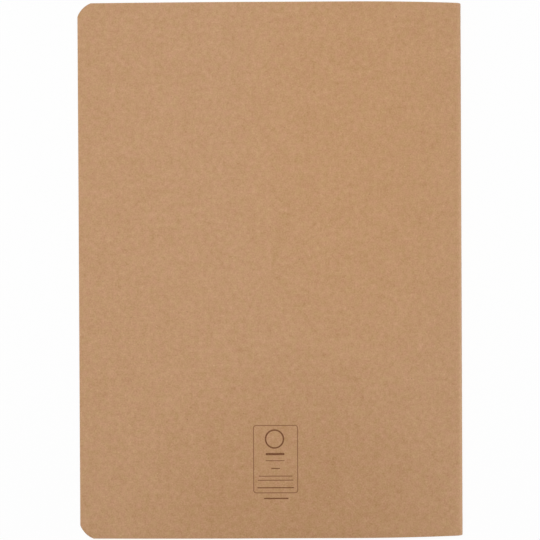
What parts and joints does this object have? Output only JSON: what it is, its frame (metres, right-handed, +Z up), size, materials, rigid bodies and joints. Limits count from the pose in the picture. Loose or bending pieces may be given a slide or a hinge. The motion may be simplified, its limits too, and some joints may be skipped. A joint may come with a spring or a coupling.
{
  "type": "lined notebook",
  "caption": "Soft-cover lined notebook: folded ruled sheets sewn through the fold into a plain kraft card cover, with round fore-edge corners.",
  "frame": {"origin": "under the middle of the closed book, on the surface that its front cover lies on", "axes": "+X towards the spine, +Y towards the head of the page, +Z up out of the back cover"},
  "size_m": [0.151, 0.21, 0.0088],
  "materials": {
    "kraft_card": "uncoated recycled kraft card, finely mottled, matt",
    "page_paper": "uncoated ivory writing paper, ruled on both sides",
    "sewing_thread": "natural linen sewing thread"
  },
  "bodies": {
    "binding": {"cover_spine": "kraft_card", "sheet_folds": "page_paper", "spine_thread": "sewing_thread", "gutter_thread": "sewing_thread"},
    "front_cover": {"front_cover": "kraft_card"},
    "back_cover": {"back_cover": "kraft_card"},
    "leaf_01": {"leaf_01": "page_paper"},
    "leaf_02": {"leaf_02": "page_paper"},
    "leaf_03": {"leaf_03": "page_paper"},
    "leaf_04": {"leaf_04": "page_paper"},
    "leaf_05": {"leaf_05": "page_paper"},
    "leaf_06": {"leaf_06": "page_paper"},
    "leaf_07": {"leaf_07": "page_paper"},
    "leaf_08": {"leaf_08": "page_paper"},
    "leaf_09": {"leaf_09": "page_paper"},
    "leaf_10": {"leaf_10": "page_paper"},
    "leaf_11": {"leaf_11": "page_paper"},
    "leaf_12": {"leaf_12": "page_paper"},
    "leaf_13": {"leaf_13": "page_paper"},
    "leaf_14": {"leaf_14": "page_paper"},
    "leaf_15": {"leaf_15": "page_paper"},
    "leaf_16": {"leaf_16": "page_paper"},
    "leaf_17": {"leaf_17": "page_paper"},
    "leaf_18": {"leaf_18": "page_paper"},
    "leaf_19": {"leaf_19": "page_paper"},
    "leaf_20": {"leaf_20": "page_paper"},
    "leaf_21": {"leaf_21": "page_paper"},
    "leaf_22": {"leaf_22": "page_paper"},
    "leaf_23": {"leaf_23": "page_paper"},
    "leaf_24": {"leaf_24": "page_paper"},
    "leaf_25": {"leaf_25": "page_paper"},
    "leaf_26": {"leaf_26": "page_paper"},
    "leaf_27": {"leaf_27": "page_paper"},
    "leaf_28": {"leaf_28": "page_paper"},
    "leaf_29": {"leaf_29": "page_paper"},
    "leaf_30": {"leaf_30": "page_paper"},
    "leaf_31": {"leaf_31": "page_paper"},
    "leaf_32": {"leaf_32": "page_paper"},
    "leaf_33": {"leaf_33": "page_paper"},
    "leaf_34": {"leaf_34": "page_paper"},
    "leaf_35": {"leaf_35": "page_paper"},
    "leaf_36": {"leaf_36": "page_paper"},
    "leaf_37": {"leaf_37": "page_paper"},
    "leaf_38": {"leaf_38": "page_paper"},
    "leaf_39": {"leaf_39": "page_paper"},
    "leaf_40": {"leaf_40": "page_paper"}
  },
  "joints": [
    {"name": "front_cover_hinge", "type": "hinge", "parent": "binding", "child": "front_cover", "pos_m": [0.07414, 0, 0.00017], "axis": [0, -1, 0], "range_deg": [0, 180]},
    {"name": "back_cover_hinge", "type": "hinge", "parent": "binding", "child": "back_cover", "pos_m": [0.0729, 0, 0.00563], "axis": [0, 1, 0], "range_deg": [0, 180]},
    {"name": "leaf_01_hinge", "type": "hinge", "parent": "binding", "child": "leaf_01", "pos_m": [0.0686, 0, 0.00045], "axis": [0, 1, 0], "range_deg": [0, 3]},
    {"name": "leaf_02_hinge", "type": "hinge", "parent": "binding", "child": "leaf_02", "pos_m": [0.0686, 0, 0.00057], "axis": [0, 1, 0], "range_deg": [0, 6]},
    {"name": "leaf_03_hinge", "type": "hinge", "parent": "binding", "child": "leaf_03", "pos_m": [0.06861, 0, 0.00069], "axis": [0, 1, 0], "range_deg": [0, 9]},
    {"name": "leaf_04_hinge", "type": "hinge", "parent": "binding", "child": "leaf_04", "pos_m": [0.06862, 0, 0.00081], "axis": [0, 1, 0], "range_deg": [0, 12]},
    {"name": "leaf_05_hinge", "type": "hinge", "parent": "binding", "child": "leaf_05", "pos_m": [0.06863, 0, 0.00093], "axis": [0, 1, 0], "range_deg": [0, 15]},
    {"name": "leaf_06_hinge", "type": "hinge", "parent": "binding", "child": "leaf_06", "pos_m": [0.06865, 0, 0.00105], "axis": [0, 1, 0], "range_deg": [0, 18]},
    {"name": "leaf_07_hinge", "type": "hinge", "parent": "binding", "child": "leaf_07", "pos_m": [0.06867, 0, 0.00117], "axis": [0, 1, 0], "range_deg": [0, 21]},
    {"name": "leaf_08_hinge", "type": "hinge", "parent": "binding", "child": "leaf_08", "pos_m": [0.06869, 0, 0.00129], "axis": [0, 1, 0], "range_deg": [0, 24]},
    {"name": "leaf_09_hinge", "type": "hinge", "parent": "binding", "child": "leaf_09", "pos_m": [0.06872, 0, 0.00141], "axis": [0, 1, 0], "range_deg": [0, 27]},
    {"name": "leaf_10_hinge", "type": "hinge", "parent": "binding", "child": "leaf_10", "pos_m": [0.06875, 0, 0.00153], "axis": [0, 1, 0], "range_deg": [0, 30]},
    {"name": "leaf_11_hinge", "type": "hinge", "parent": "binding", "child": "leaf_11", "pos_m": [0.06879, 0, 0.00165], "axis": [0, 1, 0], "range_deg": [0, 33]},
    {"name": "leaf_12_hinge", "type": "hinge", "parent": "binding", "child": "leaf_12", "pos_m": [0.06883, 0, 0.00177], "axis": [0, 1, 0], "range_deg": [0, 36]},
    {"name": "leaf_13_hinge", "type": "hinge", "parent": "binding", "child": "leaf_13", "pos_m": [0.06887, 0, 0.00189], "axis": [0, 1, 0], "range_deg": [0, 39]},
    {"name": "leaf_14_hinge", "type": "hinge", "parent": "binding", "child": "leaf_14", "pos_m": [0.06891, 0, 0.00201], "axis": [0, 1, 0], "range_deg": [0, 42]},
    {"name": "leaf_15_hinge", "type": "hinge", "parent": "binding", "child": "leaf_15", "pos_m": [0.06896, 0, 0.00213], "axis": [0, 1, 0], "range_deg": [0, 45]},
    {"name": "leaf_16_hinge", "type": "hinge", "parent": "binding", "child": "leaf_16", "pos_m": [0.06902, 0, 0.00225], "axis": [0, 1, 0], "range_deg": [0, 48]},
    {"name": "leaf_17_hinge", "type": "hinge", "parent": "binding", "child": "leaf_17", "pos_m": [0.06907, 0, 0.00237], "axis": [0, 1, 0], "range_deg": [0, 51]},
    {"name": "leaf_18_hinge", "type": "hinge", "parent": "binding", "child": "leaf_18", "pos_m": [0.06914, 0, 0.00249], "axis": [0, 1, 0], "range_deg": [0, 54]},
    {"name": "leaf_19_hinge", "type": "hinge", "parent": "binding", "child": "leaf_19", "pos_m": [0.0692, 0, 0.00261], "axis": [0, 1, 0], "range_deg": [0, 57]},
    {"name": "leaf_20_hinge", "type": "hinge", "parent": "binding", "child": "leaf_20", "pos_m": [0.06927, 0, 0.00273], "axis": [0, 1, 0], "range_deg": [0, 60]},
    {"name": "leaf_21_hinge", "type": "hinge", "parent": "binding", "child": "leaf_21", "pos_m": [0.06935, 0, 0.00285], "axis": [0, 1, 0], "range_deg": [0, 63]},
    {"name": "leaf_22_hinge", "type": "hinge", "parent": "binding", "child": "leaf_22", "pos_m": [0.06943, 0, 0.00297], "axis": [0, 1, 0], "range_deg": [0, 66]},
    {"name": "leaf_23_hinge", "type": "hinge", "parent": "binding", "child": "leaf_23", "pos_m": [0.06951, 0, 0.00309], "axis": [0, 1, 0], "range_deg": [0, 69]},
    {"name": "leaf_24_hinge", "type": "hinge", "parent": "binding", "child": "leaf_24", "pos_m": [0.06961, 0, 0.00321], "axis": [0, 1, 0], "range_deg": [0, 72]},
    {"name": "leaf_25_hinge", "type": "hinge", "parent": "binding", "child": "leaf_25", "pos_m": [0.0697, 0, 0.00333], "axis": [0, 1, 0], "range_deg": [0, 75]},
    {"name": "leaf_26_hinge", "type": "hinge", "parent": "binding", "child": "leaf_26", "pos_m": [0.0698, 0, 0.00345], "axis": [0, 1, 0], "range_deg": [0, 78]},
    {"name": "leaf_27_hinge", "type": "hinge", "parent": "binding", "child": "leaf_27", "pos_m": [0.06991, 0, 0.00357], "axis": [0, 1, 0], "range_deg": [0, 81]},
    {"name": "leaf_28_hinge", "type": "hinge", "parent": "binding", "child": "leaf_28", "pos_m": [0.07002, 0, 0.00369], "axis": [0, 1, 0], "range_deg": [0, 84]},
    {"name": "leaf_29_hinge", "type": "hinge", "parent": "binding", "child": "leaf_29", "pos_m": [0.07014, 0, 0.00381], "axis": [0, 1, 0], "range_deg": [0, 87]},
    {"name": "leaf_30_hinge", "type": "hinge", "parent": "binding", "child": "leaf_30", "pos_m": [0.07027, 0, 0.00393], "axis": [0, 1, 0], "range_deg": [0, 90]},
    {"name": "leaf_31_hinge", "type": "hinge", "parent": "binding", "child": "leaf_31", "pos_m": [0.07041, 0, 0.00405], "axis": [0, 1, 0], "range_deg": [0, 93]},
    {"name": "leaf_32_hinge", "type": "hinge", "parent": "binding", "child": "leaf_32", "pos_m": [0.07055, 0, 0.00417], "axis": [0, 1, 0], "range_deg": [0, 96]},
    {"name": "leaf_33_hinge", "type": "hinge", "parent": "binding", "child": "leaf_33", "pos_m": [0.0707, 0, 0.00429], "axis": [0, 1, 0], "range_deg": [0, 99]},
    {"name": "leaf_34_hinge", "type": "hinge", "parent": "binding", "child": "leaf_34", "pos_m": [0.07086, 0, 0.00441], "axis": [0, 1, 0], "range_deg": [0, 102]},
    {"name": "leaf_35_hinge", "type": "hinge", "parent": "binding", "child": "leaf_35", "pos_m": [0.07103, 0, 0.00453], "axis": [0, 1, 0], "range_deg": [0, 105]},
    {"name": "leaf_36_hinge", "type": "hinge", "parent": "binding", "child": "leaf_36", "pos_m": [0.07121, 0, 0.00465], "axis": [0, 1, 0], "range_deg": [0, 108]},
    {"name": "leaf_37_hinge", "type": "hinge", "parent": "binding", "child": "leaf_37", "pos_m": [0.0714, 0, 0.00477], "axis": [0, 1, 0], "range_deg": [0, 111]},
    {"name": "leaf_38_hinge", "type": "hinge", "parent": "binding", "child": "leaf_38", "pos_m": [0.0716, 0, 0.00489], "axis": [0, 1, 0], "range_deg": [0, 114]},
    {"name": "leaf_39_hinge", "type": "hinge", "parent": "binding", "child": "leaf_39", "pos_m": [0.07182, 0, 0.00501], "axis": [0, 1, 0], "range_deg": [0, 117]},
    {"name": "leaf_40_hinge", "type": "hinge", "parent": "binding", "child": "leaf_40", "pos_m": [0.07205, 0, 0.00513], "axis": [0, 1, 0], "range_deg": [0, 120]}
  ],
  "couplings": [
    {"joint": "leaf_01_hinge", "follows": "back_cover_hinge", "ratio": 0.016667},
    {"joint": "leaf_02_hinge", "follows": "back_cover_hinge", "ratio": 0.033333},
    {"joint": "leaf_03_hinge", "follows": "back_cover_hinge", "ratio": 0.05},
    {"joint": "leaf_04_hinge", "follows": "back_cover_hinge", "ratio": 0.066667},
    {"joint": "leaf_05_hinge", "follows": "back_cover_hinge", "ratio": 0.083333},
    {"joint": "leaf_06_hinge", "follows": "back_cover_hinge", "ratio": 0.1},
    {"joint": "leaf_07_hinge", "follows": "back_cover_hinge", "ratio": 0.11667},
    {"joint": "leaf_08_hinge", "follows": "back_cover_hinge", "ratio": 0.13333},
    {"joint": "leaf_09_hinge", "follows": "back_cover_hinge", "ratio": 0.15},
    {"joint": "leaf_10_hinge", "follows": "back_cover_hinge", "ratio": 0.16667},
    {"joint": "leaf_11_hinge", "follows": "back_cover_hinge", "ratio": 0.18333},
    {"joint": "leaf_12_hinge", "follows": "back_cover_hinge", "ratio": 0.2},
    {"joint": "leaf_13_hinge", "follows": "back_cover_hinge", "ratio": 0.21667},
    {"joint": "leaf_14_hinge", "follows": "back_cover_hinge", "ratio": 0.23333},
    {"joint": "leaf_15_hinge", "follows": "back_cover_hinge", "ratio": 0.25},
    {"joint": "leaf_16_hinge", "follows": "back_cover_hinge", "ratio": 0.26667},
    {"joint": "leaf_17_hinge", "follows": "back_cover_hinge", "ratio": 0.28333},
    {"joint": "leaf_18_hinge", "follows": "back_cover_hinge", "ratio": 0.3},
    {"joint": "leaf_19_hinge", "follows": "back_cover_hinge", "ratio": 0.31667},
    {"joint": "leaf_20_hinge", "follows": "back_cover_hinge", "ratio": 0.33333},
    {"joint": "leaf_21_hinge", "follows": "back_cover_hinge", "ratio": 0.35},
    {"joint": "leaf_22_hinge", "follows": "back_cover_hinge", "ratio": 0.36667},
    {"joint": "leaf_23_hinge", "follows": "back_cover_hinge", "ratio": 0.38333},
    {"joint": "leaf_24_hinge", "follows": "back_cover_hinge", "ratio": 0.4},
    {"joint": "leaf_25_hinge", "follows": "back_cover_hinge", "ratio": 0.41667},
    {"joint": "leaf_26_hinge", "follows": "back_cover_hinge", "ratio": 0.43333},
    {"joint": "leaf_27_hinge", "follows": "back_cover_hinge", "ratio": 0.45},
    {"joint": "leaf_28_hinge", "follows": "back_cover_hinge", "ratio": 0.46667},
    {"joint": "leaf_29_hinge", "follows": "back_cover_hinge", "ratio": 0.48333},
    {"joint": "leaf_30_hinge", "follows": "back_cover_hinge", "ratio": 0.5},
    {"joint": "leaf_31_hinge", "follows": "back_cover_hinge", "ratio": 0.51667},
    {"joint": "leaf_32_hinge", "follows": "back_cover_hinge", "ratio": 0.53333},
    {"joint": "leaf_33_hinge", "follows": "back_cover_hinge", "ratio": 0.55},
    {"joint": "leaf_34_hinge", "follows": "back_cover_hinge", "ratio": 0.56667},
    {"joint": "leaf_35_hinge", "follows": "back_cover_hinge", "ratio": 0.58333},
    {"joint": "leaf_36_hinge", "follows": "back_cover_hinge", "ratio": 0.6},
    {"joint": "leaf_37_hinge", "follows": "back_cover_hinge", "ratio": 0.61667},
    {"joint": "leaf_38_hinge", "follows": "back_cover_hinge", "ratio": 0.63333},
    {"joint": "leaf_39_hinge", "follows": "back_cover_hinge", "ratio": 0.65},
    {"joint": "leaf_40_hinge", "follows": "back_cover_hinge", "ratio": 0.66667}
  ]
}
